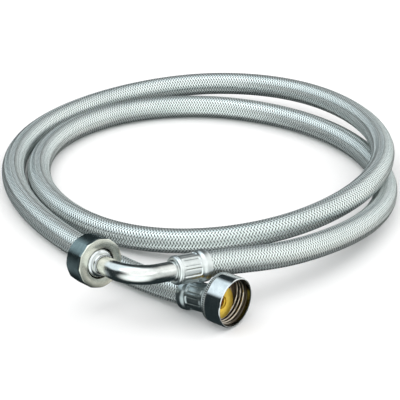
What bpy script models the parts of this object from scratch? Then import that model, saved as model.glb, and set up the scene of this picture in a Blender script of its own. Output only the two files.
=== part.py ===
"""Braided supply line: a stainless-braided hose lying in two loose turns, with a
bent chromed elbow and swivel nut on one end and a straight brass stem and
swivel nut on the other.  Sizes below are in mm, the scene is in metres, +Z up.
Origin: middle of the whole object, on the surface it lies on."""
import math

import bmesh
import bpy
import numpy as np
from mathutils import Matrix, Vector

MM = 0.001

# Middle of the coil; every other place is measured from here.
COIL_AT = (1.75, 24.72, 0.0)

# ---- hose ------------------------------------------------------------------
BRAID_R = 7.5
CRIMP_START = 0.5          # from the ferrule mouth to where the crimp begins
CRIMP_TAPER = 6.0          # length over which the crimp squeezes the hose
HOSE_END_GAP = 4.0         # hose stops this far short of the ferrule's fitting end
RING_STEP = 20.0           # approximate spacing of the sweep's sections
MARK_CLEARANCE = 2.5       # sections this close to a crimp section give way to it
SPLINE_SAMPLES = 24        # points per spline piece
SPAN_GAP = 0.3             # gap between two hose spans at a joint

# Joints between hose spans, distance from the nearer ferrule mouth
STRAIGHT_FLEX_AT = 46.0
ELBOW_FLEX_AT = 62.0
TWIST_AT = 4.0

# Lay of the coil: turn angle (deg), radius, height of centreline.
# Angle runs clockwise seen from above, from the front (-Y) of the coil.
COIL = (
    (20, 138, 7.6), (40, 122, 7.6), (60, 116, 7.6), (80, 117, 7.6),
    (100, 122.5, 7.6), (120, 130, 7.6), (150, 140, 8.8), (180, 142, 14.3),
    (210, 134, 19.4), (240, 123, 22.2), (270, 116.5, 23.7), (300, 112.5, 22.6),
    (330, 108.5, 18.0), (360, 104, 12.4), (390, 100, 8.6), (420, 98.5, 7.6),
    (450, 103, 7.6), (480, 111.5, 7.6), (510, 117.5, 7.6), (540, 117, 7.6),
    (570, 113, 7.6), (600, 112.5, 7.6), (630, 116.5, 7.8), (660, 125, 11.4),
    (690, 140.5, 18.8), (705, 153.5, 24.0),
)

# ---- ferrules --------------------------------------------------------------
FERRULE_L = 21.0
FERRULE_R = 8.3            # over the ridges of the crimped length
FERRULE_FLARE_R = 9.3      # open mouth, not crimped
FERRULE_WALL = 1.3
FERRULE_END_WALL = 2.0     # wall at the fitting end
PANELS = 8
PANEL_DEPTH = 0.6
PANEL_START, PANEL_END = 2.8, 14.6
PANEL_EDGE = 0.35          # length of the slope at either end of a panel
# Four mesh columns per panel, degrees from the panel's middle
PANEL_COLUMNS = (-16.5, -14.0, 14.0, 16.5)
BORE_CLEARANCE = 0.3       # between a tube or neck and the part around it

# ---- swivel nuts -----------------------------------------------------------
NUT_L = 13.4
NUT_CORNER = 14.6          # centre to corner
NUT_FLAT = 14.1            # centre to flat
NUT_SIDES = 12
NUT_BORE = 8.8             # hole in the back wall
NUT_WALL = 2.0
THREAD_MINOR, THREAD_MAJOR, THREAD_PITCH = 12.4, 13.55, 2.209
THREAD_TURNS = 4           # modelled as separate rings
THREAD_INSET = 1.3         # from the open rim to the first ridge

# ---- barbs of both fittings, distances from the ferrule's fitting end ------
NECK_END, BARB_START = 2.6, 3.3
BARB_STEPS = (7.4, 12.0, 16.6)   # where the radius steps up to each ridge
BARB_STEP_L = 0.2
BARB_TIP = 18.4
BARB_R, BARB_RIDGE, BARB_IN = 2.75, 3.0, 2.0
BARB_TIP_R = BARB_R - 0.2

# ---- bent end --------------------------------------------------------------
ELBOW_NUT_FACE = np.array((-55.3, -171.0, 31.0))   # centre of the nut's back face
LEG_A_AZ, LEG_A_EL, LEG_A = -52.7, 6.0, 30.5       # from nut to the bend's corner
LEG_B_AZ, LEG_B_EL, LEG_B = 32.4, -5.5, 26.2       # from the corner to the ferrule
TUBE_R, TUBE_IN, TUBE_BEND = 5.5, 4.3, 18.0
BEND_STEPS = 8
COLLAR_R = 8.2
ELBOW_FLANGE_R = 9.6
ELBOW_FLANGE_START = 6.3                           # inside the nut, from its back face
ELBOW_FLANGE_END = ELBOW_FLANGE_START + 1.8
WASHER_R, WASHER_IN, WASHER_T = 12.0, 7.5, 2.5
WASHER_START = ELBOW_FLANGE_END + 0.3

# ---- straight end ----------------------------------------------------------
STRAIGHT_NUT_FACE = (9.4, -179.6, 15.1)
STRAIGHT_NUT_AZ = -39.5
STEM_FLANGE_AT = np.array((11.7, -183.4, 13.2))    # middle of the flange
STEM_AZ, STEM_EL = -42.0, 7.0
STEM_FLANGE_R, STEM_FLANGE_T = 9.3, 1.6
STEM_NECK_R, STEM_NECK_L = 5.0, 5.5
STEM_BORE, STEM_MOUTH_R = 2.9, 3.6


# ================================================================= materials
def material(name, color, roughness, metallic):
    mat = bpy.data.materials.new(name)
    mat.use_nodes = True
    inputs = mat.node_tree.nodes["Principled BSDF"].inputs
    inputs["Base Color"].default_value = (*color, 1.0)
    inputs["Roughness"].default_value = roughness
    inputs["Metallic"].default_value = metallic
    return mat


for old in list(bpy.data.objects):
    bpy.data.objects.remove(old, do_unlink=True)

BRAID = material("stainless_braid", color=(0.72, 0.74, 0.73), roughness=0.35, metallic=1.0)
YARN = material("yarn", color=(0.86, 0.85, 0.80), roughness=0.8, metallic=0.0)
LINER = material("liner", color=(0.10, 0.10, 0.10), roughness=0.6, metallic=0.0)
CHROME = material("chrome", color=(0.80, 0.81, 0.82), roughness=0.10, metallic=1.0)
SATIN = material("satin_plate", color=(0.74, 0.74, 0.68), roughness=0.32, metallic=1.0)
STEEL = material("ferrule_steel", color=(0.78, 0.79, 0.79), roughness=0.24, metallic=1.0)
BRASS = material("brass", color=(0.78, 0.57, 0.20), roughness=0.25, metallic=1.0)
RUBBER = material("rubber", color=(0.05, 0.05, 0.05), roughness=0.7, metallic=0.0)


# ============================================================== mesh builders
def direction(azimuth, elevation=0.0):
    """Unit vector; azimuth in degrees from +X towards +Y, elevation above level."""
    az, el = math.radians(azimuth), math.radians(elevation)
    return np.array([math.cos(el) * math.cos(az), math.cos(el) * math.sin(az), math.sin(el)])


def frame_matrix(origin, axis):
    """Local Z along axis, local X level; origin in mm."""
    z = Vector(axis).normalized()
    x = z.cross(Vector((0, 0, 1))).normalized()
    y = z.cross(x)
    matrix = Matrix((x, y, z)).transposed().to_4x4()
    matrix.translation = Vector(origin) * MM
    return matrix


def finish(name, bm, mat, matrix, sharp_deg):
    bmesh.ops.recalc_face_normals(bm, faces=bm.faces)
    mesh = bpy.data.meshes.new(name)
    bm.to_mesh(mesh)
    bm.free()
    mesh.shade_smooth()
    mesh.set_sharp_from_angle(angle=math.radians(sharp_deg))
    mesh.materials.append(mat)
    ob = bpy.data.objects.new(name, mesh)
    bpy.context.scene.collection.objects.link(ob)
    ob.matrix_world = Matrix.Translation(Vector(COIL_AT) * MM) @ matrix


def turned(name, profile, steps, mat, matrix, reshape=None):
    """Spin a closed (height, radius) profile about local Z; reshape may then
    move a point given its height, radius and angle."""
    bm = bmesh.new()
    verts = [bm.verts.new((radius * MM, 0, height * MM)) for height, radius in profile]
    edges = [bm.edges.new(pair) for pair in zip(verts, verts[1:] + verts[:1])]
    bmesh.ops.spin(bm, geom=verts + edges, cent=(0, 0, 0), axis=(0, 0, 1), dvec=(0, 0, 0),
                   angle=2 * math.pi, steps=steps, use_merge=True, use_duplicate=False)
    bmesh.ops.remove_doubles(bm, verts=bm.verts, dist=1e-6)
    if reshape:
        for v in bm.verts:
            height, radius, angle = reshape(
                v.co.z / MM, math.hypot(v.co.x, v.co.y) / MM, math.atan2(v.co.y, v.co.x))
            v.co = Vector((radius * math.cos(angle), radius * math.sin(angle), height)) * MM
    finish(name, bm, mat, matrix, sharp_deg=35.0)


def swept(name, path, outer, inner, sides, mat, origin, tangents=None):
    """Hollow sweep along path (mm); outer and inner give a radius per point."""
    bm = bmesh.new()
    last = len(path) - 1
    if tangents is None:
        tangents = [path[min(i + 1, last)] - path[max(i - 1, 0)] for i in range(last + 1)]

    def ring(i, radius):
        tangent = tangents[i] / np.linalg.norm(tangents[i])
        side = np.cross(tangent, (0.0, 0.0, 1.0))
        side /= np.linalg.norm(side)
        up = np.cross(side, tangent)
        verts = []
        for k in range(sides):
            angle = 2 * math.pi * k / sides
            spoke = math.cos(angle) * side + math.sin(angle) * up
            verts.append(bm.verts.new(tuple((path[i] + radius * spoke - origin) * MM)))
        return verts

    # out along the outside, back along the inside
    rings = [ring(i, outer[i]) for i in range(last + 1)]
    rings += [ring(i, inner[i]) for i in range(last, -1, -1)]
    for a, b in zip(rings, rings[1:] + rings[:1]):
        for k in range(sides):
            j = (k + 1) % sides
            bm.faces.new((a[k], a[j], b[j], b[k]))
    finish(name, bm, mat, Matrix.Translation(Vector(origin) * MM), sharp_deg=50.0)


# ============================================================ hose centreline
leg_a = direction(LEG_A_AZ, LEG_A_EL)
leg_b = direction(LEG_B_AZ, LEG_B_EL)
stem_dir = direction(STEM_AZ, STEM_EL)
corner = ELBOW_NUT_FACE + LEG_A * leg_a
elbow_ferrule_start = corner + LEG_B * leg_b
elbow_mouth = elbow_ferrule_start + FERRULE_L * leg_b
straight_ferrule_start = STEM_FLANGE_AT - STEM_NECK_L * stem_dir
straight_mouth = straight_ferrule_start - FERRULE_L * stem_dir


def clamped_spline(points, first, last):
    """Cubic spline through points, knots by chord length, with given end directions."""
    p = np.asarray(points, float)
    chord = np.linalg.norm(np.diff(p, axis=0), axis=1)
    n = len(p)
    system = np.zeros((n, n))
    rhs = np.zeros((n, 3))
    system[0, 0] = system[-1, -1] = 1.0
    rhs[0], rhs[-1] = first, last
    for i in range(1, n - 1):
        before, after = chord[i - 1], chord[i]
        system[i, i - 1:i + 2] = after, 2 * (after + before), before
        rhs[i] = 3 * (after * (p[i] - p[i - 1]) / before + before * (p[i + 1] - p[i]) / after)
    slope = np.linalg.solve(system, rhs)
    out = []
    for i in range(n - 1):
        for u in np.linspace(0, 1, SPLINE_SAMPLES, endpoint=False):
            out.append((2 * u**3 - 3 * u**2 + 1) * p[i]
                       + (u**3 - 2 * u**2 + u) * chord[i] * slope[i]
                       + (3 * u**2 - 2 * u**3) * p[i + 1]
                       + (u**3 - u**2) * chord[i] * slope[i + 1])
    out.append(p[-1])
    return np.array(out)


def coil_point(turn_deg, radius, height):
    angle = math.radians(turn_deg)
    return (-radius * math.sin(angle), -radius * math.cos(angle), height)


centreline = clamped_spline(
    [straight_mouth, *(coil_point(*row) for row in COIL), elbow_mouth], -stem_dir, -leg_b)
centreline_s = np.concatenate(
    [[0.0], np.cumsum(np.linalg.norm(np.diff(centreline, axis=0), axis=1))])
HOSE_L = float(centreline_s[-1])


def on_hose(s):
    """Point of the centreline, s mm from the straight end's ferrule mouth; it
    runs on straight inside both ferrules."""
    if s < 0:
        return straight_mouth - s * stem_dir
    if s > HOSE_L:
        return elbow_mouth - (s - HOSE_L) * leg_b
    return np.array([np.interp(s, centreline_s, centreline[:, k]) for k in range(3)])


# ====================================================================== hose
# name, free (outer, inner) radii, crimped (outer, inner) radii, sides, material
HOSE_LAYERS = (
    ("braid", (BRAID_R, 7.0), (5.8, 5.4), 12, BRAID),
    ("yarn", (6.3, 5.9), (4.95, 4.65), 6, YARN),
    ("liner", (5.6, 4.7), (4.35, 3.85), 6, LINER),
)


def squeeze(s, free, crimped):
    """Radius of a layer, s mm along the hose: crimped inside both ferrules."""
    depth = max(-s, s - HOSE_L) - CRIMP_START
    return free + (crimped - free) * min(max(depth / CRIMP_TAPER, 0.0), 1.0)


def stations(start, end):
    """Even sections, plus one at each end of a crimp taper inside the span."""
    marks = [start, end]
    n = max(1, round((end - start) / RING_STEP))
    marks += [start + (end - start) * i / n for i in range(1, n)]
    for mouth, sign in ((0.0, -1.0), (HOSE_L, 1.0)):
        for depth in (CRIMP_START, CRIMP_START + CRIMP_TAPER):
            taper = mouth + sign * depth
            if start + 0.5 < taper < end - 0.5:
                marks = [m for m in marks
                         if abs(m - taper) > MARK_CLEARANCE or m in (start, end)]
                marks.append(taper)
    return sorted(marks)


def hose_span(prefix, start, end, origin_s):
    """The three layers of one span of hose."""
    marks = stations(start, end)
    path = [on_hose(s) for s in marks]
    tangents = [on_hose(s + 1.0) - on_hose(s - 1.0) for s in marks]
    for layer, free, crimped, sides, mat in HOSE_LAYERS:
        outer, inner = ([squeeze(s, free[k], crimped[k]) for s in marks] for k in (0, 1))
        swept(f"{prefix}_{layer}", path, outer, inner, sides, mat, on_hose(origin_s), tangents)


def hose():
    half_gap = SPAN_GAP / 2
    buried = FERRULE_L - HOSE_END_GAP
    elbow_flex = HOSE_L - ELBOW_FLEX_AT
    twist = HOSE_L - TWIST_AT
    hose_span("straight_tail", -buried, STRAIGHT_FLEX_AT - half_gap, STRAIGHT_FLEX_AT)
    hose_span("coil", STRAIGHT_FLEX_AT + half_gap, elbow_flex - half_gap, HOSE_L / 2)
    hose_span("elbow_tail", elbow_flex + half_gap, twist - half_gap, elbow_flex)
    hose_span("elbow_tip", twist + half_gap, HOSE_L + buried, HOSE_L)


# ================================================================== ferrules
def ferrule(name, start, axis, neck_r, first_panel_deg):
    """Local Z runs from the fitting end to the hose mouth; first_panel_deg is
    the angle of the middle of one panel."""
    length, ridge, flare = FERRULE_L, FERRULE_R, FERRULE_FLARE_R
    bore = neck_r + BORE_CLEARANCE
    mouth_bore = BRAID_R + 0.4
    cavity = ridge - FERRULE_WALL
    profile = [
        (0.0, bore), (0.0, ridge - 1.0), (0.9, ridge - 0.2), (1.6, ridge),
        (PANEL_START, ridge), (PANEL_START + PANEL_EDGE, ridge),
        (PANEL_END - PANEL_EDGE, ridge), (PANEL_END, ridge), (15.2, ridge),
        (17.6, flare), (length - 0.7, flare), (length, flare - 0.5),
        (length, mouth_bore), (length - CRIMP_START, mouth_bore),
        (length - CRIMP_START - CRIMP_TAPER, cavity), (FERRULE_END_WALL, cavity),
        (FERRULE_END_WALL, bore),
    ]
    per_panel = len(PANEL_COLUMNS)
    columns = PANELS * per_panel

    def press_panels(height, radius, angle):
        index = round((angle % (2 * math.pi)) / (2 * math.pi / columns)) % columns
        panel, column = divmod(index, per_panel)
        angle = math.radians(panel * 360 / PANELS + PANEL_COLUMNS[column] + first_panel_deg)
        in_length = PANEL_START + PANEL_EDGE / 2 < height < PANEL_END - PANEL_EDGE / 2
        if in_length and radius > ridge - 0.01 and column in (1, 2):
            radius -= PANEL_DEPTH
        return height, radius, angle

    turned(name, profile, columns, STEEL, frame_matrix(start, axis), press_panels)


# ================================================================ swivel nuts
# Back edge of each nut: height, radius less than the corner radius
PLAIN_BACK = ((0.0, 0.7), (0.35, 0.35), (1.2, 0.0))
RINGED_BACK = ((0.0, 1.5), (0.35, 0.9), (1.0, 0.4), (1.7, 0.4), (2.0, 0.75), (2.4, 0.0))


def swivel_nut(name, face, axis, back_edge):
    """Local Z runs from the back face to the open rim."""
    profile = [(0.0, NUT_BORE)]
    profile += [(height, NUT_CORNER - drop) for height, drop in back_edge]
    profile += [(NUT_L - 1.6, NUT_CORNER), (NUT_L - 0.5, NUT_CORNER - 0.2),
                (NUT_L, NUT_CORNER - 0.6), (NUT_L, THREAD_MAJOR + 0.1)]
    for i in range(THREAD_TURNS):
        top = NUT_L - THREAD_INSET - i * THREAD_PITCH
        profile += [(top, THREAD_MINOR), (top - 0.3 * THREAD_PITCH, THREAD_MINOR),
                    (top - 0.5 * THREAD_PITCH, THREAD_MAJOR),
                    (top - 0.7 * THREAD_PITCH, THREAD_MAJOR)]
    profile += [(NUT_WALL, THREAD_MAJOR), (NUT_WALL, NUT_BORE)]
    side = 2 * math.pi / NUT_SIDES

    def cut_flats(height, radius, angle):
        if 1.1 < height < NUT_L - 0.3 and radius > THREAD_MAJOR + 0.6:
            radius = min(radius, NUT_FLAT / math.cos(angle % side - side / 2))
        return height, radius, angle

    turned(name, profile, 3 * NUT_SIDES, CHROME, frame_matrix(face, axis), cut_flats)


# ========================================================== bent end's pieces
def elbow_flange_collar():
    bore = TUBE_R + BORE_CLEARANCE
    profile = [
        (-2.6, bore), (-2.6, 6.1), (-1.4, 6.5), (-0.8, 6.15), (-0.45, 7.3), (0.7, COLLAR_R),
        (ELBOW_FLANGE_START, COLLAR_R), (ELBOW_FLANGE_START, ELBOW_FLANGE_R),
        (ELBOW_FLANGE_END, ELBOW_FLANGE_R), (ELBOW_FLANGE_END, bore),
    ]
    turned("elbow_flange_collar", profile, 24, SATIN, frame_matrix(ELBOW_NUT_FACE, -leg_a))


def elbow_hose_washer():
    end = WASHER_START + WASHER_T
    profile = [(WASHER_START, WASHER_IN), (WASHER_START, WASHER_R),
               (end, WASHER_R), (end, WASHER_IN)]
    turned("elbow_hose_washer", profile, 32, RUBBER, frame_matrix(ELBOW_NUT_FACE, -leg_a))


def elbow_bent_tube():
    """From the flange in the nut, round the bend and on to the barbed tip."""
    cos_bend = float(leg_a @ leg_b)
    bend = math.acos(cos_bend)
    inward = leg_b - leg_a * cos_bend
    inward /= np.linalg.norm(inward)
    centre = corner - TUBE_BEND * math.tan(bend / 2) * leg_a + TUBE_BEND * inward

    path = [ELBOW_NUT_FACE - ELBOW_FLANGE_END * leg_a, ELBOW_NUT_FACE]
    for i in range(BEND_STEPS + 1):
        angle = bend * i / BEND_STEPS
        path.append(centre + TUBE_BEND * (math.sin(angle) * leg_a - math.cos(angle) * inward))
    outer = [TUBE_R] * len(path)
    inner = [TUBE_IN] * len(path)

    # distance past the ferrule's fitting end, outer radius, inner radius
    tip = [(NECK_END, TUBE_R, TUBE_IN), (BARB_START, BARB_R, 2.6)]
    for step in BARB_STEPS:
        tip += [(step - 3.8, BARB_R, BARB_IN), (step, BARB_R, BARB_IN),
                (step + BARB_STEP_L, BARB_RIDGE, BARB_IN)]
    tip.append((BARB_TIP, BARB_TIP_R, BARB_IN))
    for distance, outer_r, inner_r in tip:
        path.append(elbow_ferrule_start + distance * leg_b)
        outer.append(outer_r)
        inner.append(inner_r)
    swept("elbow_bent_tube", path, outer, inner, 16, CHROME, ELBOW_NUT_FACE)


# ========================================================== straight end's stem
def straight_barb_stem():
    """Local Z runs from the flange's middle towards the hose."""
    neck, half = STEM_NECK_L, STEM_FLANGE_T / 2
    profile = [
        (-half, STEM_MOUTH_R), (-half, STEM_FLANGE_R - 0.3), (-half + 0.3, STEM_FLANGE_R),
        (half, STEM_FLANGE_R), (half, STEM_NECK_R + 0.8), (half + 0.8, STEM_NECK_R),
        (neck + NECK_END, STEM_NECK_R), (neck + BARB_START, BARB_R),
    ]
    for step in BARB_STEPS:
        profile += [(neck + step, BARB_R), (neck + step + BARB_STEP_L, BARB_RIDGE)]
        if step != BARB_STEPS[-1]:     # the last ridge tapers straight to the tip
            profile.append((neck + step + 2.2, BARB_R))
    profile += [(neck + BARB_TIP, BARB_TIP_R), (neck + BARB_TIP, BARB_IN),
                (neck + 3.0, BARB_IN), (neck + 1.0, STEM_BORE), (1.5, STEM_BORE)]
    turned("straight_barb_stem", profile, 24, BRASS, frame_matrix(STEM_FLANGE_AT, -stem_dir))


hose()
ferrule("elbow_ferrule", elbow_ferrule_start, leg_b, TUBE_R, first_panel_deg=-6.0)
ferrule("straight_ferrule", straight_ferrule_start, -stem_dir, STEM_NECK_R, first_panel_deg=2.4)
swivel_nut("elbow_swivel_nut", ELBOW_NUT_FACE, -leg_a, PLAIN_BACK)
swivel_nut("straight_swivel_nut", STRAIGHT_NUT_FACE, direction(STRAIGHT_NUT_AZ), RINGED_BACK)
elbow_flange_collar()
elbow_hose_washer()
elbow_bent_tube()
straight_barb_stem()
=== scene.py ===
"""A steel-braided hose lying in a loose coil of nearly two turns, with a swivel nut on each end.

The coil lies around COIL_AT, with the floor at z = 0 and +Z up.  Both ends come out
towards -Y: the elbow fitting at the left (-X), the straight fitting at the right (+X).
Lengths are in millimetres, measured from COIL_AT, until meshes are made in metres.
"""

import math

import bpy
import numpy as np
from mathutils import Matrix, Vector


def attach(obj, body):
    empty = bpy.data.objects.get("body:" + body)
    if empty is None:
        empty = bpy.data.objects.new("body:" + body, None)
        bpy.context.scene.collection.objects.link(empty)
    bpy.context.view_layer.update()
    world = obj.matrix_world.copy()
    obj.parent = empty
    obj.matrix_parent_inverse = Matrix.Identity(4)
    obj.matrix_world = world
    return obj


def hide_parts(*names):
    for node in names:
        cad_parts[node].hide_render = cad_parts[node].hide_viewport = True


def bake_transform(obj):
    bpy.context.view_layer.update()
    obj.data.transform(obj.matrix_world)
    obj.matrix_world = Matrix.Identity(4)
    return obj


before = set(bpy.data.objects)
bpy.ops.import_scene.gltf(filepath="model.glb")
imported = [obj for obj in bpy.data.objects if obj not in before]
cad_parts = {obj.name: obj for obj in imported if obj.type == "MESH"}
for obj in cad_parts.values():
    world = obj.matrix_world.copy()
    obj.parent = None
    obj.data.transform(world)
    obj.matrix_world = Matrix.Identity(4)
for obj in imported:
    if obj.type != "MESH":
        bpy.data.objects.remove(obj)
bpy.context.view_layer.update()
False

MM = 0.001  # one millimetre in metres

# ------------------------------------------------------------------ the design
COIL_AT = (1.75, 24.72, 0.0)  # middle of the coil

BRAID_R = 7.5
SLEEVE_R = 6.82
CRIMP_BRAID = 5.8             # braid and sleeve radii inside the ferrules
CRIMP_SLEEVE = 5.15
CRIMP_TAPER = 6.0             # length over which they narrow
CARRIERS = 12                 # bundles each way
LAY = 22.8                    # length of one turn of a bundle
PICK = LAY / (2 * CARRIERS)   # distance between crossings along the hose

# Hose centreline: turn in degrees, clockwise from -Y seen from above; radius; height
COIL = (
    (20, 138, 7.6), (40, 122, 7.6), (60, 116, 7.6), (80, 117, 7.6),
    (100, 122.5, 7.6), (120, 130, 7.6), (150, 140, 8.8), (180, 142, 14.3),
    (210, 134, 19.4), (240, 123, 22.2), (270, 116.5, 23.7), (300, 112.5, 22.6),
    (330, 108.5, 18.0), (360, 104, 12.4), (390, 100, 8.6), (420, 98.5, 7.6),
    (450, 103, 7.6), (480, 111.5, 7.6), (510, 117.5, 7.6), (540, 117, 7.6),
    (570, 113, 7.6), (600, 112.5, 7.6), (630, 116.5, 7.8), (660, 125, 11.4),
    (690, 140.5, 18.8), (705, 153.5, 24.0),
)
SPLINE_STEPS = 48             # points between two of these

FERRULE_LENGTH = 21.0
FERRULE_R = 8.3
FERRULE_FLARE_R = 9.3
FERRULE_WALL = 1.3
FERRULE_PANELS = 8            # pressed panels around it, and their depth
PANEL_DEPTH = 0.6

NUT_LENGTH = 13.4
NUT_SIDES = 12
NUT_CORNER = 14.6             # radius to the corners and to the flats
NUT_FLATS = 14.1
NUT_BORE = 8.8
NUT_WALL = 2.0
THREAD_MINOR = 12.4
THREAD_MAJOR = 13.55
THREAD_PITCH = 2.209

# Directions are (azimuth from +X, elevation) in degrees.
ELBOW_NUT_FACE = (-55.3, -171.0, 31.0)
NUT_LEG_AIM = (-52.7, 6.0)    # from the nut face to the corner of the elbow
NUT_LEG = 30.5
HOSE_LEG_AIM = (32.4, -5.5)   # from the corner to the ferrule
HOSE_LEG = 26.2
TUBE_R = 5.5
TUBE_BORE = 4.3
TUBE_BEND = 18.0
BARB_R = 2.75
BARB_RIDGE = 3.0
BARB_BORE = 2.0
BARB_END = 18.4               # stub end and barb places, from the start of the ferrule
BARBS_AT = [6.0 + 4.6 * i for i in range(3)]
FLANGE_R = 9.6
FLANGE_AT = 6.3
FLANGE_END = FLANGE_AT + 1.8
WASHER_AT = FLANGE_AT + 2.1
WASHER_R = 12.0
WASHER_BORE = 7.5
WASHER_THICK = 2.5

STRAIGHT_NUT_FACE = (9.4, -179.6, 15.1)
STRAIGHT_NUT_AIM = (-39.5, 0.0)
STEM_FLANGE_AT = (11.7, -183.4, 13.2)
STEM_AIM = (-42.0, 7.0)
STEM_FLANGE_R = 9.3
STEM_FLANGE_THICK = 1.6
STEM_NECK_R = 5.0
STEM_NECK_LENGTH = 5.5


def direction(azimuth, elevation):
    azimuth, elevation = math.radians(azimuth), math.radians(elevation)
    return np.array([math.cos(elevation) * math.cos(azimuth),
                     math.cos(elevation) * math.sin(azimuth), math.sin(elevation)])


def smooth(start, end, x):
    """Eased step from 0 at start to 1 at end."""
    part = np.clip((np.asarray(x, float) - start) / (end - start), 0, 1)
    return part * part * (3 - 2 * part)


# ------------------------------------------------------------------- materials
class Graph:
    """A shader node tree, with a short method for each kind of step."""

    def __init__(self, owner):
        owner.use_nodes = True
        self.nodes = owner.node_tree.nodes
        self.links = owner.node_tree.links

    def feed(self, node, inputs):
        """Links outputs to the node's inputs, or sets them to plain values."""
        for key, value in inputs.items():
            if isinstance(value, bpy.types.NodeSocket):
                self.links.new(value, node.inputs[key])
            else:
                node.inputs[key].default_value = value

    def add(self, kind, inputs, **settings):
        node = self.nodes.new("ShaderNode" + kind)
        for key, value in settings.items():
            setattr(node, key, value)
        self.feed(node, inputs)
        return node

    def coords(self, space):
        return self.add("TexCoord", {}).outputs[space]

    def noise(self, coords, scale, detail, rough, stretch=None):
        if stretch:
            mapping = self.add("Mapping", {"Scale": stretch, "Vector": coords})
            coords = mapping.outputs["Vector"]
        return self.add("TexNoise", {"Scale": scale, "Detail": detail, "Roughness": rough,
                                     "Vector": coords}).outputs["Fac"]

    def spread(self, value, low, high, start=0.3, end=0.7):
        """Maps start..end to low..high."""
        return self.add("MapRange", {"From Min": start, "From Max": end, "To Min": low,
                                     "To Max": high, "Value": value}).outputs["Result"]

    def tint(self, factor, first, second):
        return self.add("Mix", {"Factor": factor, "A": (*first, 1), "B": (*second, 1)},
                        data_type="RGBA").outputs["Result"]

    def bump(self, height, depth, strength=1.0, under=None):
        inputs = {"Strength": strength, "Distance": depth, "Height": height}
        if under:
            inputs["Normal"] = under
        return self.add("Bump", inputs).outputs["Normal"]

    def calc(self, operation, *values):
        return self.add("Math", dict(enumerate(values)), operation=operation).outputs["Value"]

    def blend(self, first, second):
        """60% of the first value and 40% of the second."""
        return self.calc("ADD", self.calc("MULTIPLY", first, 0.6),
                         self.calc("MULTIPLY", second, 0.4))

    def axis_distance(self, coords):
        """Distance from local Z, and the height along it."""
        x, y, z = self.add("SeparateXYZ", {0: coords}).outputs
        square = self.calc("ADD", self.calc("MULTIPLY", x, x), self.calc("MULTIPLY", y, y))
        return self.calc("SQRT", square), z


def start_material(name):
    material = bpy.data.materials.new(name)
    graph = Graph(material)
    return material, graph, graph.nodes["Principled BSDF"]


# Noise scales are per metre; bump depths and ring spacing are in metres.
METAL_GRAIN = 260.0
RING_SPACING = 0.00028


def metal(name, dark, light, rough, scratch, turned=0.0):
    """Metal with mottled colour and roughness, fine scratches and, if turned,
    lathe rings about local Z."""
    material, graph, shader = start_material(name)
    coords = graph.coords("Object")
    mottle = graph.noise(coords, METAL_GRAIN, detail=4.0, rough=0.6)
    colour = graph.tint(graph.spread(mottle, 0.0, 1.0), dark, light)
    fine = graph.noise(coords, METAL_GRAIN * 5, detail=3.0, rough=0.6)
    roughness = graph.spread(graph.blend(mottle, fine), *rough)
    scratches = graph.noise(coords, METAL_GRAIN * 10, detail=2.0, rough=0.6,
                            stretch=(0.25, 0.25, 2.0))
    normal = graph.bump(scratches, scratch)
    if turned:
        radius, height = graph.axis_distance(coords)
        along = graph.calc("ADD", radius, height)
        rings = graph.calc("SINE", graph.calc("MULTIPLY", along, 2 * math.pi / RING_SPACING))
        normal = graph.bump(rings, turned, under=normal)
    graph.feed(shader, {"Metallic": 1.0, "Base Color": colour, "Roughness": roughness,
                        "Normal": normal})
    return material


CHROME = metal("polished_chrome", dark=(0.70, 0.72, 0.74), light=(0.86, 0.87, 0.88),
               rough=(0.06, 0.15), scratch=12e-6)
SATIN = metal("faced_nickel", dark=(0.70, 0.70, 0.62), light=(0.80, 0.80, 0.72),
              rough=(0.20, 0.26), scratch=6e-6, turned=2e-6)
# painted shade: the chrome darkened for the elbow nut's sides
SHADED_CHROME = metal("shaded_chrome", dark=(0.20, 0.26, 0.27), light=(0.28, 0.35, 0.36),
             rough=(0.22, 0.27), scratch=8e-6)
MOUTH = metal("shaded_lead_in", dark=(0.07, 0.08, 0.08), light=(0.12, 0.13, 0.13),
              rough=(0.08, 0.14), scratch=4e-6)
TUBE = metal("polished_tube", dark=(0.76, 0.77, 0.76), light=(0.88, 0.88, 0.86),
             rough=(0.13, 0.20), scratch=6e-6)
STEEL = metal("pressed_stainless", dark=(0.70, 0.73, 0.73), light=(0.84, 0.86, 0.86),
              rough=(0.28, 0.33), scratch=10e-6)
# painted shade: the stainless darkened for the straight ferrule
STEEL_SHADED = metal("shaded_stainless", dark=(0.34, 0.39, 0.40), light=(0.52, 0.57, 0.58),
                   rough=(0.28, 0.33), scratch=10e-6)
BRASS = metal("machined_brass", dark=(0.80, 0.52, 0.06), light=(0.98, 0.72, 0.14),
              rough=(0.285, 0.34), scratch=6e-6, turned=4e-6)


def cut_metal(name, bright_r, dark_r, bright, dark):
    """Cut metal with a painted highlight on its crests and painted shade in its roots, by the
    distance from local Z in mm."""
    material, graph, shader = start_material(name)
    coords = graph.coords("Object")
    radius, _ = graph.axis_distance(coords)
    crest = graph.spread(radius, 1.0, 0.0, start=bright_r * MM, end=dark_r * MM)
    worn = graph.noise(coords, 300.0, detail=3.0, rough=0.5)
    # painted highlight on the crests, painted shade in the roots
    shine = graph.calc("MULTIPLY", crest, graph.spread(worn, 0.75, 1.0))
    graph.feed(shader, {
        "Metallic": 1.0,
        "Base Color": graph.tint(shine, dark, bright),
        "Roughness": graph.spread(worn, 0.28, 0.32),
        "Normal": graph.bump(worn, depth=4e-6),
    })
    return material


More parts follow.
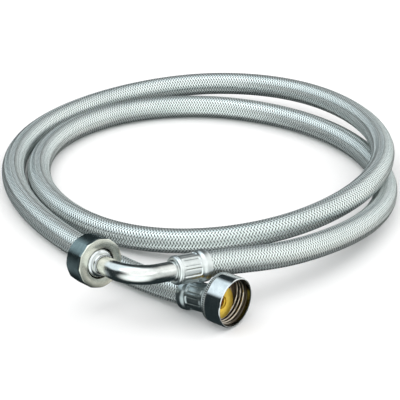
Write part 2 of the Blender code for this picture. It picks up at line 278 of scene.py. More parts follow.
def braid_material():
    """Stainless wire: parallel wires across each bundle, and bundles that
    differ a little in colour and shine.

    U is 1 where a bundle rides over and 0 where it dips under; V runs 0 to 1 across it.  Painted
    shade sits in the dips and along the edges."""
    material, graph, shader = start_material("stainless_wire_braid")
    texture = graph.add("TexCoord", {})
    ride, across, _ = graph.add("SeparateXYZ", {0: texture.outputs["UV"]}).outputs
    coords = texture.outputs["Object"]
    patch = graph.noise(coords, 420.0, detail=2.0, rough=0.5)
    soft = graph.noise(coords, 45.0, detail=2.0, rough=0.5)
    mottle = graph.spread(graph.blend(patch, soft), 0, 1, start=0.35, end=0.65)
    wire_tone = graph.tint(mottle, (0.84, 0.90, 0.89), (0.95, 0.99, 0.98))
    # painted shade: darker where a bundle dips under, and along its edges
    over = graph.spread(ride, 0.26, 1.0, start=0.22, end=0.66)
    off_middle = graph.calc("ABSOLUTE", graph.calc("SUBTRACT", across, 0.5))
    edge = graph.spread(off_middle, 1.0, 0.32, start=0.34, end=0.5)
    shade = graph.calc("MULTIPLY", over, edge)
    # painted shade towards the outline, where the braid is seen edge-on
    facing = graph.add("LayerWeight", {"Blend": 0.5}).outputs["Facing"]
    shade = graph.calc("MULTIPLY", shade, graph.spread(facing, 1.0, 0.06, start=0.80, end=0.97))
    grey = graph.add("CombineColor", {i: shade for i in range(3)}).outputs[0]
    colour = graph.add("Mix", {"Factor": 1.0, "A": wire_tone, "B": grey},
                       data_type="RGBA", blend_type="MULTIPLY").outputs["Result"]
    roughness = graph.spread(patch, 0.28, 0.31)
    # five wires across a bundle
    wave = graph.calc("SINE", graph.calc("MULTIPLY", across, math.pi * 5))
    wires = graph.calc("ABSOLUTE", wave)
    graph.feed(shader, {
        "Metallic": 0.86,
        "Specular Tint": (0.35, 0.40, 0.40, 1),
        "Base Color": colour,
        "Roughness": roughness,
        "Normal": graph.bump(wires, depth=20e-6, strength=0.4),
    })
    return material


BRAID = braid_material()
# thread: painted highlight on its crests, painted shade in its roots
THREAD = cut_metal("cut_thread", bright_r=THREAD_MINOR + 0.05, dark_r=THREAD_MINOR + 0.55,
                   bright=(1.0, 0.88, 0.76), dark=(0.075, 0.060, 0.045))
# knurled ring: painted highlight on its teeth, painted shade in its valleys
RING = cut_metal("knurled_ring", bright_r=NUT_CORNER - 0.26, dark_r=NUT_CORNER - 0.50,
                 bright=(0.72, 0.75, 0.74), dark=(0.06, 0.07, 0.07))


def matte(name, dark, light, rough, scale, depth):
    material, graph, shader = start_material(name)
    grain = graph.noise(graph.coords("Object"), scale, detail=4.0, rough=0.6)
    graph.feed(shader, {
        "Base Color": graph.tint(graph.spread(grain, 0, 1), dark, light),
        "Roughness": graph.spread(grain, rough - 0.08, rough + 0.1),
        "Normal": graph.bump(grain, depth),
    })
    return material


YARN = matte("dark_yarn_sleeve", dark=(0.008, 0.009, 0.010), light=(0.035, 0.038, 0.04),
             rough=0.7, scale=900.0, depth=80e-6)
RUBBER = matte("washer_rubber", dark=(0.012, 0.012, 0.012), light=(0.035, 0.034, 0.033),
               rough=0.55, scale=1400.0, depth=30e-6)
LINER = matte("liner_rubber", dark=(0.03, 0.03, 0.03), light=(0.07, 0.07, 0.07),
              rough=0.6, scale=900.0, depth=30e-6)


# ------------------------------------------------------------------- meshes
def add_mesh(name, verts, faces, materials, matrix=None, material_index=None, uv=None,
             sharp=None):
    """verts in metres; faces is a list of index arrays, all faces of one size
    in one array.  uv is given per vertex."""
    mesh = bpy.data.meshes.new(name)
    verts = np.asarray(verts, np.float32)
    loops = np.concatenate([group.reshape(-1) for group in faces]).astype(np.int32)
    sizes = np.concatenate([np.full(len(group), group.shape[1], np.int32) for group in faces])
    starts = np.concatenate([[0], np.cumsum(sizes)[:-1]]).astype(np.int32)
    mesh.vertices.add(len(verts))
    mesh.vertices.foreach_set("co", verts.reshape(-1))
    mesh.loops.add(len(loops))
    mesh.loops.foreach_set("vertex_index", loops)
    mesh.polygons.add(len(sizes))
    mesh.polygons.foreach_set("loop_start", starts)
    mesh.polygons.foreach_set("use_smooth", np.ones(len(sizes), bool))
    for material in materials:
        mesh.materials.append(material)
    if material_index is not None:
        mesh.polygons.foreach_set("material_index", material_index)
    if uv is not None:
        layer = mesh.uv_layers.new(name="UVMap")
        layer.data.foreach_set("uv", np.asarray(uv, np.float32)[loops].reshape(-1))
    mesh.update(calc_edges=True)
    mesh.validate()
    if sharp is not None:
        mesh.set_sharp_from_angle(angle=math.radians(sharp))
    part = bpy.data.objects.new(name, mesh)
    bpy.context.scene.collection.objects.link(part)
    place = Matrix.Translation(Vector(COIL_AT) * MM)
    part.matrix_world = place @ (matrix or Matrix.Identity(4))
    bpy.context.view_layer.update()
    return part


def fit(part, body, node):
    """Attaches the part to the body it moves with and hides the CAD part it stands for."""
    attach(part, body)
    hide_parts(node)


def frame_matrix(origin, axis):
    """Local Z along axis, from an origin in mm."""
    z = Vector(tuple(axis)).normalized()
    x = z.cross(Vector((0, 0, 1))).normalized()
    y = z.cross(x)
    matrix = Matrix((x, y, z)).transposed().to_4x4()
    matrix.translation = Vector(tuple(float(v) for v in origin)) * MM
    return matrix


def ring_quads(count, sides):
    """Faces joining each ring of vertices to the next, and the last to the first."""
    ring = np.arange(count)[:, None]
    side = np.arange(sides)[None]
    next_ring, next_side = (ring + 1) % count, (side + 1) % sides
    return np.stack([ring * sides + side, ring * sides + next_side,
                     next_ring * sides + next_side, next_ring * sides + side],
                    -1).reshape(-1, 4)


def shell_mesh(name, verts, sides, material, matrix=None):
    """A hollow tube from its outer rings in order, then its inner ones in reverse."""
    quads = ring_quads(len(verts) // sides, sides)[:, ::-1]
    return add_mesh(name, verts, [quads], [material], matrix, sharp=50)


def lathe(name, loop, steps, materials, matrix, sharp, shape=None, material_of=None):
    """Closed (height, radius) loop turned about local Z.  shape(height, radius,
    angle) gives new radii; material_of gives a material index per loop edge."""
    loop = np.asarray(loop, float)
    count = len(loop)
    height = np.repeat(loop[:, 0][:, None], steps, 1)
    radius = np.repeat(loop[:, 1][:, None], steps, 1)
    angle = np.repeat(np.linspace(0, 2 * math.pi, steps, endpoint=False)[None], count, 0)
    if shape:
        radius = shape(height, radius, angle)
    verts = np.stack([radius * np.cos(angle), radius * np.sin(angle), height], -1)
    quads = ring_quads(count, steps)
    # outward faces: the loop's turning sense decides
    area = 0.5 * np.sum(loop[:, 0] * np.roll(loop[:, 1], -1)
                        - np.roll(loop[:, 0], -1) * loop[:, 1])
    if area > 0:
        quads = quads[:, ::-1]
    index = None
    if material_of is not None:
        index = np.repeat(np.asarray(material_of, np.int32), steps)
    return add_mesh(name, verts.reshape(-1, 3) * MM, [quads], materials, matrix, index,
                    sharp=sharp)


def lean_normals(own, radial, lean):
    """Unit normals turned from their own direction towards radial by lean."""
    mixed = own * (1 - lean) + radial * lean
    mixed /= np.linalg.norm(mixed, axis=1, keepdims=True)
    return mixed.tolist()


def round_normals(part, steps, rows, amount):
    """Turns the shading of the given loop rows towards a plain cylinder's,
    so that shallow flats read as softly worn."""
    mesh = part.data
    count = len(mesh.loops)
    own = np.zeros(count * 3, np.float32)
    mesh.corner_normals.foreach_get("vector", own)
    own = own.reshape(-1, 3)
    vertex = np.zeros(count, np.int32)
    mesh.loops.foreach_get("vertex_index", vertex)
    place = np.zeros(len(mesh.vertices) * 3, np.float32)
    mesh.vertices.foreach_get("co", place)
    radial = place.reshape(-1, 3)[vertex] * (1, 1, 0)
    radial /= np.linalg.norm(radial, axis=1, keepdims=True)
    chosen = np.isin(vertex // steps, rows) & ((own * radial).sum(1) > 0.9)
    mesh.normals_split_custom_set(lean_normals(own, radial, (amount * chosen)[:, None]))


def rounded(points, radii, arc=4):
    """Rounds the corners of a closed (height, radius) loop, by one radius or one each."""
    points = np.asarray(points, float)
    count = len(points)
    out = []
    for i, radius in enumerate(np.broadcast_to(radii, count)):
        corner = points[i]
        back, ahead = points[i - 1] - corner, points[(i + 1) % count] - corner
        back_length, ahead_length = np.linalg.norm(back), np.linalg.norm(ahead)
        back, ahead = back / back_length, ahead / ahead_length
        half = 0.5 * math.acos(max(-1.0, min(1.0, float(back @ ahead))))
        if radius <= 0 or half > math.radians(86):
            out.append(corner)
            continue
        reach = min(radius / math.tan(half), 0.45 * back_length, 0.45 * ahead_length)
        start, end = corner + back * reach, corner + ahead * reach
        for k in range(arc + 1):
            f = k / arc
            out.append((1 - f) ** 2 * start + 2 * f * (1 - f) * corner + f * f * end)
    return np.array(out)


def shifted(points, height, radius):
    """Outline points given as offsets from a height and a radius."""
    return [(height + x, radius + y) for x, y in points]


# --------------------------------------------------------------- centreline
nut_leg, hose_leg = direction(*NUT_LEG_AIM), direction(*HOSE_LEG_AIM)
stem_dir = direction(*STEM_AIM)
elbow_nut_face = np.array(ELBOW_NUT_FACE)
elbow_corner = elbow_nut_face + NUT_LEG * nut_leg
elbow_ferrule_start = elbow_corner + HOSE_LEG * hose_leg
elbow_mouth = elbow_ferrule_start + FERRULE_LENGTH * hose_leg
straight_ferrule_start = np.array(STEM_FLANGE_AT) - STEM_NECK_LENGTH * stem_dir
straight_mouth = straight_ferrule_start - FERRULE_LENGTH * stem_dir


def clamped_spline(knots, first, last):
    """Dense points of a cubic spline with unit tangents given at both ends."""
    knots = np.asarray(knots, float)
    gap = np.linalg.norm(np.diff(knots, axis=0), axis=1)
    count = len(knots)
    system = np.zeros((count, count))
    target = np.zeros((count, 3))
    system[0, 0] = system[-1, -1] = 1.0
    target[0], target[-1] = first, last
    for i in range(1, count - 1):
        before, after = gap[i - 1], gap[i]
        system[i, i - 1:i + 2] = after, 2 * (after + before), before
        target[i] = 3 * (after * (knots[i] - knots[i - 1]) / before
                         + before * (knots[i + 1] - knots[i]) / after)
    slope = np.linalg.solve(system, target)
    out = []
    for i in range(count - 1):
        for u in np.linspace(0, 1, SPLINE_STEPS, endpoint=False):
            out.append((2 * u**3 - 3 * u**2 + 1) * knots[i]
                       + (u**3 - 2 * u**2 + u) * gap[i] * slope[i]
                       + (3 * u**2 - 2 * u**3) * knots[i + 1]
                       + (u**3 - u**2) * gap[i] * slope[i + 1])
    out.append(knots[-1])
    return np.array(out)


def coil_point(degrees, radius, height):
    turn = math.radians(degrees)
    return -radius * math.sin(turn), -radius * math.cos(turn), height


line = clamped_spline([straight_mouth, *(coil_point(*row) for row in COIL), elbow_mouth],
                      -stem_dir, -hose_leg)
line_s = np.concatenate([[0.0], np.cumsum(np.linalg.norm(np.diff(line, axis=0), axis=1))])
HOSE_LENGTH = float(line_s[-1])
line_tangent = np.gradient(line, line_s, axis=0)
line_tangent[0], line_tangent[-1] = -stem_dir, -hose_leg


def on_hose(s):
    """Points and unit tangents of the centreline at s (mm, any shape).  s runs from
    the straight ferrule's mouth; beyond either end the line goes straight on."""
    s = np.asarray(s, float)
    inside = np.clip(s, 0, HOSE_LENGTH)
    point = np.stack([np.interp(inside, line_s, line[:, k]) for k in range(3)], -1)
    tangent = np.stack([np.interp(inside, line_s, line_tangent[:, k]) for k in range(3)], -1)
    tangent /= np.linalg.norm(tangent, axis=-1, keepdims=True)
    return point + (s - inside)[..., None] * tangent, tangent


def hose_surface(s, angle, radius):
    """Points at (s, angle, radius) on the hose, mm."""
    point, tangent = on_hose(s)
    side = np.cross(tangent, (0.0, 0.0, 1.0))
    side /= np.linalg.norm(side, axis=-1, keepdims=True)
    up = np.cross(side, tangent)
    return point + radius[..., None] * (np.cos(angle)[..., None] * side
                                        + np.sin(angle)[..., None] * up)


def squeeze(s, free, crimped):
    """Goes from the free size to the crimped one inside the ferrules."""
    depth = np.maximum(-s, s - HOSE_LENGTH) - 0.5
    return free + (crimped - free) * np.clip(depth / CRIMP_TAPER, 0, 1)


# -------------------------------------------------------------------- braid
STEPS = 3                     # sections between two crossings
LIFT = 0.15                   # half the height between over and under
WAVE_SHARPNESS = 1.3          # how abruptly a bundle changes level
HALF_WIDTH = 0.64             # half a bundle's width
LAY_ANGLE = math.atan2(2 * math.pi * BRAID_R, LAY)
# A bundle's section, four points across the top and one below: place across it,
# height, V, and how far the normals lean to the hose's own
SECTION_ACROSS = np.array([-1.0, -0.45, 0.45, 1.0, 0.0])
SECTION_HEIGHT = np.array([-0.19, -0.03, -0.03, -0.19, -0.34])
SECTION_V = np.array([0.0, 0.3, 0.7, 1.0, 0.5])
SECTION_LEAN = np.array([0.42, 0.74, 0.74, 0.42, 0.0])
SECTION_POINTS = len(SECTION_ACROSS)


def bundle(hand, carrier, base_s):
    """Points (mm), outward directions and UVs of one bundle, section by section."""
    turn = 2 * math.pi * (carrier / CARRIERS + hand * base_s / LAY)
    wave = np.cos(CARRIERS * turn)
    wave = hand * np.tanh(WAVE_SHARPNESS * wave) / math.tanh(WAVE_SHARPNESS)
    scale = squeeze(base_s, 1.0, CRIMP_BRAID / BRAID_R)
    middle = BRAID_R - LIFT + LIFT * wave
    across = SECTION_ACROSS[None, :] * HALF_WIDTH
    s = base_s[:, None] + across * math.sin(LAY_ANGLE)
    angle = turn[:, None] - hand * across * math.cos(LAY_ANGLE) / BRAID_R
    radius = (middle[:, None] + SECTION_HEIGHT[None, :]) * scale[:, None]
    points = hose_surface(s, angle, radius)
    outward = hose_surface(s, angle, radius + 1.0) - points
    uv = np.stack([np.repeat(0.5 + 0.5 * wave, SECTION_POINTS),
                   np.tile(SECTION_V, len(base_s))], -1)
    return points.reshape(-1, 3), outward.reshape(-1, 3), uv


def bundle_faces(hand, sections):
    """Side quads and the two end caps of one bundle."""
    size = SECTION_POINTS
    row = np.arange(sections - 1)[:, None] * size
    point = np.arange(size)[None]
    after = (point + 1) % size
    quads = np.stack([row + point, row + size + point, row + size + after, row + after],
                     -1).reshape(-1, 4)
    first, last = np.arange(size), (sections - 1) * size + np.arange(size)
    if hand > 0:
        quads, first = quads[:, ::-1], first[::-1]
    else:
        last = last[::-1]
    return quads, np.stack([first, last])


def braid_piece(name, start, end):
    """Both directions of the weave between two places along the hose: each
    bundle passes over one and under the next."""
    base_s = np.arange(round(start / PICK * STEPS), round(end / PICK * STEPS) + 1) * PICK / STEPS
    sections = len(base_s)
    verts, outward, uvs, quads, caps = [], [], [], [], []
    count = 0
    for hand in (1.0, -1.0):
        sides, ends = bundle_faces(hand, sections)
        for carrier in range(CARRIERS):
            for store, values in zip((verts, outward, uvs), bundle(hand, carrier, base_s)):
                store.append(values)
            quads.append(sides + count)
            caps.append(ends + count)
            count += sections * SECTION_POINTS
    part = add_mesh(name, np.concatenate(verts) * MM,
                    [np.concatenate(quads), np.concatenate(caps)], [BRAID],
                    uv=np.concatenate(uvs))
    own = np.zeros(count * 3, np.float32)
    part.data.vertex_normals.foreach_get("vector", own)
    lean = np.tile(SECTION_LEAN, sections * 2 * CARRIERS)[:, None]
    part.data.normals_split_custom_set_from_vertices(
        lean_normals(own.reshape(-1, 3), np.concatenate(outward), lean))
    return part


def sleeve_piece(name, start, end):
    """The yarn sleeve seen in the holes of the weave."""
    count = max(3, int(round((end - start) / 4.0)) + 1)
    s = np.linspace(start, end, count)[:, None]
    sides = 24
    angle = np.linspace(0, 2 * math.pi, sides, endpoint=False)[None]
    outer = hose_surface(s, angle, squeeze(s, SLEEVE_R, CRIMP_SLEEVE))
    inner = hose_surface(s, angle, squeeze(s, SLEEVE_R - 0.6, CRIMP_SLEEVE - 0.5))
    verts = np.concatenate([outer, inner[::-1]]).reshape(-1, 3) * MM
    part = shell_mesh(name, verts, sides, YARN)
    return part


def place_at(s):
    return tuple((on_hose(float(s))[0] + np.array(COIL_AT)) * MM)


# Where the hose passes from body to body; elbow lengths count back from its mouth
STRAIGHT_FLEX_FROM, STRAIGHT_FLEX_TO = 46.0 - 20.0, 46.0 + 20.0
ELBOW_FLEX_AT = 62.0
ELBOW_FLEX_FROM = HOSE_LENGTH - ELBOW_FLEX_AT - 32.0
ELBOW_FLEX_TO = HOSE_LENGTH - ELBOW_FLEX_AT + 26.0
TWIST_FROM, TWIST_TO = HOSE_LENGTH - 32.0, HOSE_LENGTH - 4.0
IN_FERRULE = FERRULE_LENGTH - 4.0   # how far the braid reaches into a ferrule
COIL_PIECES = 8
COIL_LENGTH = ELBOW_FLEX_FROM - STRAIGHT_FLEX_TO
# name, from, to, and the body it rides on, or the two it lies between
SPANS = [
    ("straight_tip", -IN_FERRULE, STRAIGHT_FLEX_FROM, "straight_fitting"),
    ("straight_bend", STRAIGHT_FLEX_FROM, STRAIGHT_FLEX_TO, "straight_fitting", "hose_coil"),
    *(("coil_%d" % (i + 1), STRAIGHT_FLEX_TO + COIL_LENGTH * i / COIL_PIECES,
       STRAIGHT_FLEX_TO + COIL_LENGTH * (i + 1) / COIL_PIECES, "hose_coil")
      for i in range(COIL_PIECES)),
    ("elbow_bend", ELBOW_FLEX_FROM, ELBOW_FLEX_TO, "hose_coil", "elbow_tail"),
    ("elbow_run", ELBOW_FLEX_TO, TWIST_FROM, "elbow_tail"),
    ("elbow_twist", TWIST_FROM, TWIST_TO, "elbow_tail", "elbow_fitting"),
    ("elbow_tip", TWIST_TO, HOSE_LENGTH + IN_FERRULE, "elbow_fitting"),
]
# span: the CAD stretch whose braid and yarn it stands for
STANDS_FOR = {"straight_tip": "straight_tail", "coil_1": "coil", "elbow_run": "elbow_tail",
              "elbow_tip": "elbow_tip"}

for name, start, end, *bodies in SPANS:
    braid = braid_piece("braid_" + name, start, end)
    sleeve = sleeve_piece("sleeve_" + name, start, end)
    for part in (braid, sleeve):
        if len(bodies) == 2:
            place_at(start)
            place_at(end)
            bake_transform(part)
        else:
            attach(part, bodies[0])
    if name in STANDS_FOR:
        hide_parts(STANDS_FOR[name] + "_braid")
        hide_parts(STANDS_FOR[name] + "_yarn")


# ------------------------------------------------------------------ ferrules
PANEL_FROM, PANEL_TO = 2.7, 14.7
# Outlines as (height, radius) offsets; the groove is the dip near 1.6
FERRULE_EDGE = ((0.0, -1.5), (0.12, -1.0), (0.45, -0.45), (0.9, -0.16), (1.3, -0.05),
                (1.45, -0.22), (1.62, -0.26), (1.8, -0.2), (1.95, -0.03), (2.2, 0), (2.5, 0))
FERRULE_SWELL = ((14.95, 0), (15.2, 0.02), (15.6, 0.12), (16.1, 0.36), (16.6, 0.64),
                 (17.1, 0.86), (17.7, 0.98))
FERRULE_LIP = ((-0.9, 0), (-0.45, -0.07), (-0.15, -0.25), (0, -0.6))
FERRULE_MOUTH = ((0, 0.65), (-0.2, 0.48), (-0.6, 0.42))


def ferrule(end, start, axis, neck_r, phase, material):
    """Crimped sleeve with rounded panels pressed in around it, flared at the hose."""
    bore = FERRULE_R - FERRULE_WALL
    loop = [
        *shifted(FERRULE_EDGE, 0, FERRULE_R),
        *((x, FERRULE_R) for x in np.arange(PANEL_FROM, PANEL_TO + 0.01, 0.2)),
        *shifted(FERRULE_SWELL, 0, FERRULE_R),
        (18.6, FERRULE_FLARE_R),
        *shifted(FERRULE_LIP, FERRULE_LENGTH, FERRULE_FLARE_R),
        *shifted(FERRULE_MOUTH, FERRULE_LENGTH, BRAID_R),
        (FERRULE_LENGTH - 0.5 - CRIMP_TAPER, bore), (2.0, bore),
        (2.0, neck_r + 0.3), (0.25, neck_r + 0.3), (0.0, neck_r + 0.55),
    ]
    pitch = 2 * math.pi / FERRULE_PANELS
    half_length = (PANEL_TO - PANEL_FROM) / 2 - 0.1
    half_width = FERRULE_R * math.radians(18.2)
    round_r = 1.25

    def shape(height, radius, angle):
        off = (angle - phase + pitch / 2) % pitch - pitch / 2
        dx = np.abs(height - (PANEL_FROM + PANEL_TO) / 2) - (half_length - round_r)
        dy = np.abs(off) * FERRULE_R - (half_width - round_r)
        # distance from the panel's rounded outline, negative inside
        outside = (np.hypot(np.maximum(dx, 0), np.maximum(dy, 0))
                   + np.minimum(np.maximum(dx, dy), 0) - round_r)
        deep = smooth(0.0, 0.65, -outside) - 0.35 * smooth(0.6, 1.6, -outside)
        pressed = ((radius > FERRULE_R - 0.01) & (height > PANEL_FROM - 0.1)
                   & (height < PANEL_TO + 0.1))
        return np.where(pressed, radius - PANEL_DEPTH * deep, radius)

    part = lathe(end + "_ferrule_shell", loop, 256, [material], frame_matrix(start, axis),
                 sharp=50, shape=shape)
    fit(part, end + "_fitting", end + "_ferrule")


ferrule("elbow", elbow_ferrule_start, hose_leg, neck_r=TUBE_R, phase=math.radians(-6.0),
        material=STEEL)
# the straight ferrule carries painted shade in a darkened stainless
ferrule("straight", straight_ferrule_start, -stem_dir, neck_r=STEM_NECK_R,
        phase=math.radians(2.4), material=STEEL_SHADED)


# ---------------------------------------------------------------------- nuts
# Outlines of the closed end as (height, offset from the corner radius)
RING_END = ((0.0, -1.6), (0.04, -1.2), (0.16, -0.8), (0.36, -0.5), (0.6, -0.3), (0.9, -0.22),
            (1.2, -0.2), (1.6, -0.2), (2.0, -0.22), (2.2, -0.3), (2.34, -0.5), (2.44, -0.7),
            (2.56, -0.7), (2.66, -0.4), (2.8, -0.12), (3.0, 0))
PLAIN_END = ((0.0, -3.0), (0.0, -0.75), (0.05, -0.62), (0.18, -0.5), (0.45, -0.3),
             (0.8, -0.12), (1.2, 0), (2.0, 0), (3.0, 0))
# Offsets from the nut's length and its corner radius, then the thread's major radius
OPEN_END = ((-1.8, 0), (-1.3, 0), (-0.9, -0.03), (-0.5, -0.12), (-0.22, -0.28),
            (-0.06, -0.46), (0, -0.62))
LEAD_IN = ((0, 0.26), (-0.08, 0.16), (-0.3, 0.1), (-0.9, 0.06), (-1.6, 0.04), (-2.4, 0.02))
THREAD_TOP, THREAD_BOTTOM = NUT_LENGTH - 2.6, 3.0
SERRATIONS = 72
SERRATION_DEPTH = 0.38


def flattened(radius, angle, flats):
    """Radii cut to the nut's flats, with the corners softened."""
    side = 2 * math.pi / NUT_SIDES
    flat = flats / np.cos(angle % side - side / 2)
    return np.minimum(radius, flat) - 0.06 * np.exp(-np.abs(radius - flat) / 0.10)


def serration_depth(height, angle):
    band = smooth(0.2, 0.6, height) * (1 - smooth(2.0, 2.3, height))
    return SERRATION_DEPTH * band * (0.5 + 0.5 * np.cos(SERRATIONS * angle))


def thread_height(height, angle):
    """How far the thread stands in from its major radius."""
    phase = (height / THREAD_PITCH - angle / (2 * math.pi)) % 1.0
    crest = smooth(0.06, 0.42, phase) * (1 - smooth(0.52, 0.88, phase))
    fade = (smooth(THREAD_BOTTOM, THREAD_BOTTOM + 0.9, height)
            * (1 - smooth(THREAD_TOP - 0.9, THREAD_TOP, height)))
    return (THREAD_MAJOR - THREAD_MINOR) * crest * fade


def nut(end, face, axis, side_material, face_material, serrated, flats):
    """Twelve-sided nut, threaded inside, from its closed end at height 0; if
    serrated, with a knurled ring around that end."""
    outer = [
        (0.0, NUT_BORE + (0.35 if serrated else 0.3)),
        *shifted(RING_END if serrated else PLAIN_END, 0, NUT_CORNER),
        *((x, NUT_CORNER) for x in np.arange(3.6, NUT_LENGTH - 1.9, 0.8)),
        *shifted(OPEN_END, NUT_LENGTH, NUT_CORNER),
    ]
    lead = shifted(LEAD_IN, NUT_LENGTH, THREAD_MAJOR)
    thread = [(x, THREAD_MAJOR) for x in np.arange(THREAD_TOP, THREAD_BOTTOM, -0.18)]
    closed = [(THREAD_BOTTOM - 0.1, THREAD_MAJOR), (NUT_WALL + 0.15, THREAD_MAJOR),
              (NUT_WALL, THREAD_MAJOR - 0.15), (NUT_WALL, NUT_BORE + 0.2),
              (NUT_WALL - 0.2, NUT_BORE), (0.35, NUT_BORE), (0.08, NUT_BORE + 0.08)]
    loop = outer + lead + thread + closed
    thread_from = len(outer) + len(lead)
    thread_to = thread_from + len(thread)
    flats_from = 2.7 if serrated else 0.01

    def shape(height, radius, angle):
        row = np.arange(len(loop))[:, None]
        outside = row < len(outer)
        sided = outside & (height > flats_from) & (height < NUT_LENGTH - 0.02)
        shaped = np.where(sided, flattened(radius, angle, flats), radius)
        if serrated:
            knurled = outside & (radius > NUT_CORNER - 1.5)
            shaped = shaped - serration_depth(height, angle) * knurled
        threaded = (row >= thread_from) & (row < thread_to)
        return np.where(threaded, shaped - thread_height(height, angle), shaped)

    face_edges = sum(height < 0.6 for height, _ in outer)
    ring_end = sum(height < 2.45 for height, _ in outer) if serrated else face_edges
    materials = [side_material, THREAD, face_material, RING, MOUTH]
    material_of = ([2] * face_edges + [3] * (ring_end - face_edges)
                   + [0] * (len(outer) - ring_end) + [4] * (len(lead) - 1)
                   + [1] * (len(thread) + 4) + [2] * (len(closed) - 3))
    steps = 720 if serrated else 336
    part = lathe(end + "_nut_shell", loop, steps, materials, frame_matrix(face, axis),
                 sharp=40, shape=shape, material_of=material_of)
    side_rows = [i for i, (height, _) in enumerate(outer) if height > 2.9]
    round_normals(part, steps, side_rows, amount=0.85)
    fit(part, end + "_nut", end + "_swivel_nut")


# the elbow nut's sides carry painted shade in a darkened chrome
nut("elbow", ELBOW_NUT_FACE, -nut_leg, side_material=SHADED_CHROME, face_material=SATIN,
    serrated=False, flats=NUT_FLATS)
nut("straight", STRAIGHT_NUT_FACE, direction(*STRAIGHT_NUT_AIM), side_material=CHROME,
    face_material=CHROME, serrated=True, flats=NUT_FLATS + 0.2)

# -------------------------------------------------------------- elbow pieces
elbow_frame = frame_matrix(ELBOW_NUT_FACE, -nut_leg)


def elbow_collar():
    # height, radius, corner rounding
    outline = np.array([
        (-2.6, TUBE_R + 0.12, 0.1), (-2.6, 6.1, 0.4), (-1.4, 6.5, 0.5), (-0.9, 6.15, 0.15),
        (-0.7, 6.15, 0.15), (-0.45, 7.3, 0.5), (0.7, 8.2, 0.8), (FLANGE_AT, 8.2, 0.3),
        (FLANGE_AT, FLANGE_R, 0.2), (FLANGE_END, FLANGE_R, 0.3),
        (FLANGE_END, TUBE_R + 0.12, 0.1),
    ])
    part = lathe("elbow_collar", rounded(outline[:, :2], outline[:, 2]), 96, [CHROME],
                 elbow_frame, sharp=45)
    fit(part, "elbow_fitting", "elbow_flange_collar")


def elbow_washer():
    top = WASHER_AT + WASHER_THICK
    outline = [(WASHER_AT, WASHER_BORE), (WASHER_AT, WASHER_R), (top, WASHER_R),
               (top, WASHER_BORE)]
    part = lathe("elbow_washer_ring", rounded(outline, 0.45), 96, [RUBBER], elbow_frame,
                 sharp=60)
    fit(part, "elbow_washer", "elbow_hose_washer")


def tube_stations():
    """Point, direction, outer and inner radius along the bent tube and its barbs."""
    turn = math.acos(float(nut_leg @ hose_leg))
    setback = TUBE_BEND * math.tan(turn / 2)
    bend_start = elbow_corner - setback * nut_leg
    bend_end = elbow_corner + setback * hose_leg
    inward = hose_leg - nut_leg * float(nut_leg @ hose_leg)
    inward /= np.linalg.norm(inward)
    centre = bend_start + TUBE_BEND * inward
    stations = []
    bend_at = float((bend_start - elbow_nut_face) @ nut_leg)
    for along in np.linspace(-FLANGE_END, bend_at - 0.5, 8):
        stations.append((elbow_nut_face + along * nut_leg, nut_leg, TUBE_R, TUBE_BORE))
    for i in range(33):
        angle = turn * i / 32
        across, ahead = math.cos(angle), math.sin(angle)
        point = centre - TUBE_BEND * across * inward + TUBE_BEND * ahead * nut_leg
        stations.append((point, ahead * inward + across * nut_leg, TUBE_R, TUBE_BORE))
    reach = float((elbow_ferrule_start - bend_end) @ hose_leg)
    for part in (0.4, 0.7, 1.0):
        stations.append((bend_end + (reach + 2.5) * part * hose_leg, hose_leg, TUBE_R,
                         TUBE_BORE))
    # distance into the ferrule, outer and inner radius
    stub = [(3.0, BARB_R, 2.4)]
    for at in BARBS_AT:
        stub += [(at - 2.2, BARB_R, BARB_BORE), (at + 1.3, BARB_R, BARB_BORE),
                 (at + 1.6, BARB_RIDGE, BARB_BORE)]
    stub.append((BARB_END, BARB_R - 0.2, BARB_BORE))
    for depth, outer, bore in stub:
        stations.append((elbow_ferrule_start + depth * hose_leg, hose_leg, outer, bore))
    return stations


def elbow_tube():
    stations = tube_stations()
    sides = 96
    angle = np.linspace(0, 2 * math.pi, sides, endpoint=False)[:, None]
    normal = np.cross(nut_leg, hose_leg)
    normal /= np.linalg.norm(normal)

    def ring(point, tangent, radius):
        across = np.cross(tangent, normal)
        return point[None] + radius * (np.cos(angle) * across + np.sin(angle) * normal)

    rings = [ring(point, tangent, outer) for point, tangent, outer, _ in stations]
    rings += [ring(point, tangent, bore) for point, tangent, _, bore in stations[::-1]]
    to_local = np.array(elbow_frame.inverted())
    verts = np.concatenate(rings) * MM
    verts = verts @ to_local[:3, :3].T + to_local[:3, 3]
    part = shell_mesh("elbow_tube", verts, sides, TUBE, elbow_frame)
    fit(part, "elbow_fitting", "elbow_bent_tube")


elbow_collar()
elbow_washer()
elbow_tube()


# ---------------------------------------------------------------- brass stem
def straight_stem():
    half, neck = STEM_FLANGE_THICK / 2, STEM_NECK_LENGTH
    outline = [(-half, 3.6), (-half, STEM_FLANGE_R), (half, STEM_FLANGE_R),
               (half, STEM_NECK_R + 0.8), (half + 0.8, STEM_NECK_R),
               (neck + 2.6, STEM_NECK_R), (neck + 3.3, BARB_R)]
    for at in BARBS_AT:
        outline += [(neck + at + 1.4, BARB_R), (neck + at + 1.6, BARB_RIDGE),
                    (neck + at + 3.6, BARB_R)]
    outline.pop()  # the last barb tapers straight to the tip
    outline += [(neck + BARB_END, BARB_R - 0.2), (neck + BARB_END, BARB_BORE),
                (neck + 3.0, BARB_BORE), (neck + 1.0, 2.9), (0.4, 2.9), (0.0, 3.3)]
    part = lathe("straight_stem", rounded(outline, 0.18, arc=3), 96, [BRASS],
                 frame_matrix(STEM_FLANGE_AT, -stem_dir), sharp=40)
    fit(part, "straight_fitting", "straight_barb_stem")


straight_stem()

# CAD liners stay, inside the sleeves
for stretch in STANDS_FOR.values():
    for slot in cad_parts[stretch + "_liner"].material_slots:
        slot.material = LINER


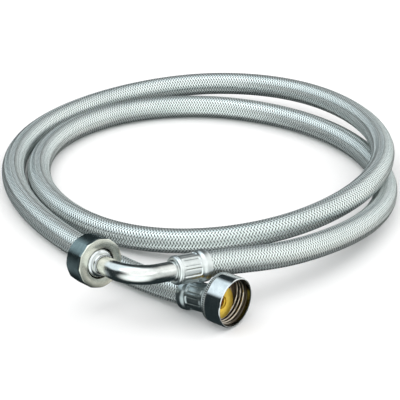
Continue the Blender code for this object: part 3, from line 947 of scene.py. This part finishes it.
# ------------------------------------------------------------------ the stage
def add_floor():
    mesh = bpy.data.meshes.new("floor")
    mesh.from_pydata([(-4, -4, 0), (4, -4, 0), (4, 4, 0), (-4, 4, 0)], [], [(0, 1, 2, 3)])
    floor = bpy.data.objects.new("floor", mesh)
    bpy.context.scene.collection.objects.link(floor)
    material, graph, shader = start_material("pale_floor")
    graph.feed(shader, {"Base Color": (0.93, 0.93, 0.93, 1), "Roughness": 0.9,
                        "Specular IOR Level": 0.0})
    mesh.materials.append(material)
    floor.visible_glossy = False


# Soft round light patches seen only in reflections, in degrees:
# azimuth, elevation, radius of full light, radius where it ends, colour, gain
LOBES = (
    (-95, 60, 28, 54, (0.97, 1.0, 0.99), 1.18),    # box above the camera
    (158, 50, 24, 40, (0.82, 0.95, 1.0), 1.05),    # box on the left
    (20, 24, 20, 48, (0.97, 1.0, 0.98), 1.15),     # box on the right
    (-105, -18, 14, 54, (0.93, 1.0, 0.98), 1.35),  # pale floor in front
    (-42, 12, 14, 44, (0.95, 1.0, 0.97), 0.75),    # low at the front right
    (2, -21, 13, 28, (1.0, 0.99, 0.93), 0.75),     # pale floor on the right
    (90, 80, 8, 26, (0.88, 0.96, 1.0), 0.4),       # ceiling
    (64, 12, 8, 27, (0.88, 0.97, 1.0), 0.60),      # bright wall low at the back right
    (150, -22, 8, 26, (0.85, 0.97, 1.0), 0.30),    # table on the left
)
DIM_ROOM = (0.020, 0.030, 0.032)    # reflected between the patches
AMBIENT = (1.05, 1.05, 1.05, 1)     # what all other rays see


def lobe(graph, coords, azimuth, elevation, inner, outer, colour, gain):
    toward = tuple(float(v) for v in direction(azimuth, elevation))
    dot = graph.add("VectorMath", {0: coords, 1: toward}, operation="DOT_PRODUCT")
    fade = graph.add("MapRange", {"From Min": math.cos(math.radians(outer)),
                                  "From Max": math.cos(math.radians(inner)),
                                  "Value": dot.outputs["Value"]},
                     interpolation_type="SMOOTHSTEP")
    light = graph.add("VectorMath", {0: tuple(c * gain for c in colour),
                                     "Scale": fade.outputs["Result"]}, operation="SCALE")
    return light.outputs["Vector"]


def add_world():
    world = bpy.data.worlds.new("studio")
    graph = Graph(world)
    bpy.context.scene.world = world
    coords = graph.coords("Generated")
    total = lobe(graph, coords, *LOBES[0])
    for entry in LOBES[1:]:
        light = lobe(graph, coords, *entry)
        total = graph.add("VectorMath", {0: total, 1: light}, operation="ADD").outputs["Vector"]
    room = graph.add("VectorMath", {0: total, 1: DIM_ROOM}, operation="ADD").outputs["Vector"]
    glossy = graph.add("LightPath", {}).outputs["Is Glossy Ray"]
    mix = graph.add("Mix", {"Factor": glossy, "A": AMBIENT, "B": room}, data_type="RGBA")
    graph.feed(graph.nodes["Background"], {"Color": mix.outputs["Result"], "Strength": 1.0})


def area(name, location, size, power):
    """Rectangular light aimed at the origin; metres and watts."""
    light = bpy.data.lights.new(name, "AREA")
    light.shape = "RECTANGLE"
    light.size, light.size_y = size
    light.energy = power
    lamp = bpy.data.objects.new(name, light)
    lamp.location = location
    lamp.rotation_euler = (-Vector(location)).to_track_quat("-Z", "Y").to_euler()
    lamp.visible_glossy = False
    bpy.context.scene.collection.objects.link(lamp)


def add_camera(lens, distance, height, tilt):
    """Camera towards -Y of the coil by distance, looking down by tilt degrees."""
    camera = bpy.data.cameras.new("camera")
    camera.lens = lens
    camera.sensor_width = 36.0
    holder = bpy.data.objects.new("camera", camera)
    holder.location = (COIL_AT[0] * MM, COIL_AT[1] * MM - distance, height)
    holder.rotation_euler = (math.radians(90 - tilt), 0, 0)
    bpy.context.scene.collection.objects.link(holder)
    bpy.context.scene.camera = holder


add_floor()
add_world()
area("key", location=(-0.5, -0.5, 1.3), size=(1.1, 0.9), power=4.0)
area("fill", location=(0.9, 0.2, 0.9), size=(0.9, 0.9), power=2.5)
add_camera(lens=178.5, distance=1.1584, height=0.5303, tilt=24.9875)
bpy.context.scene.view_settings.view_transform = "Standard"
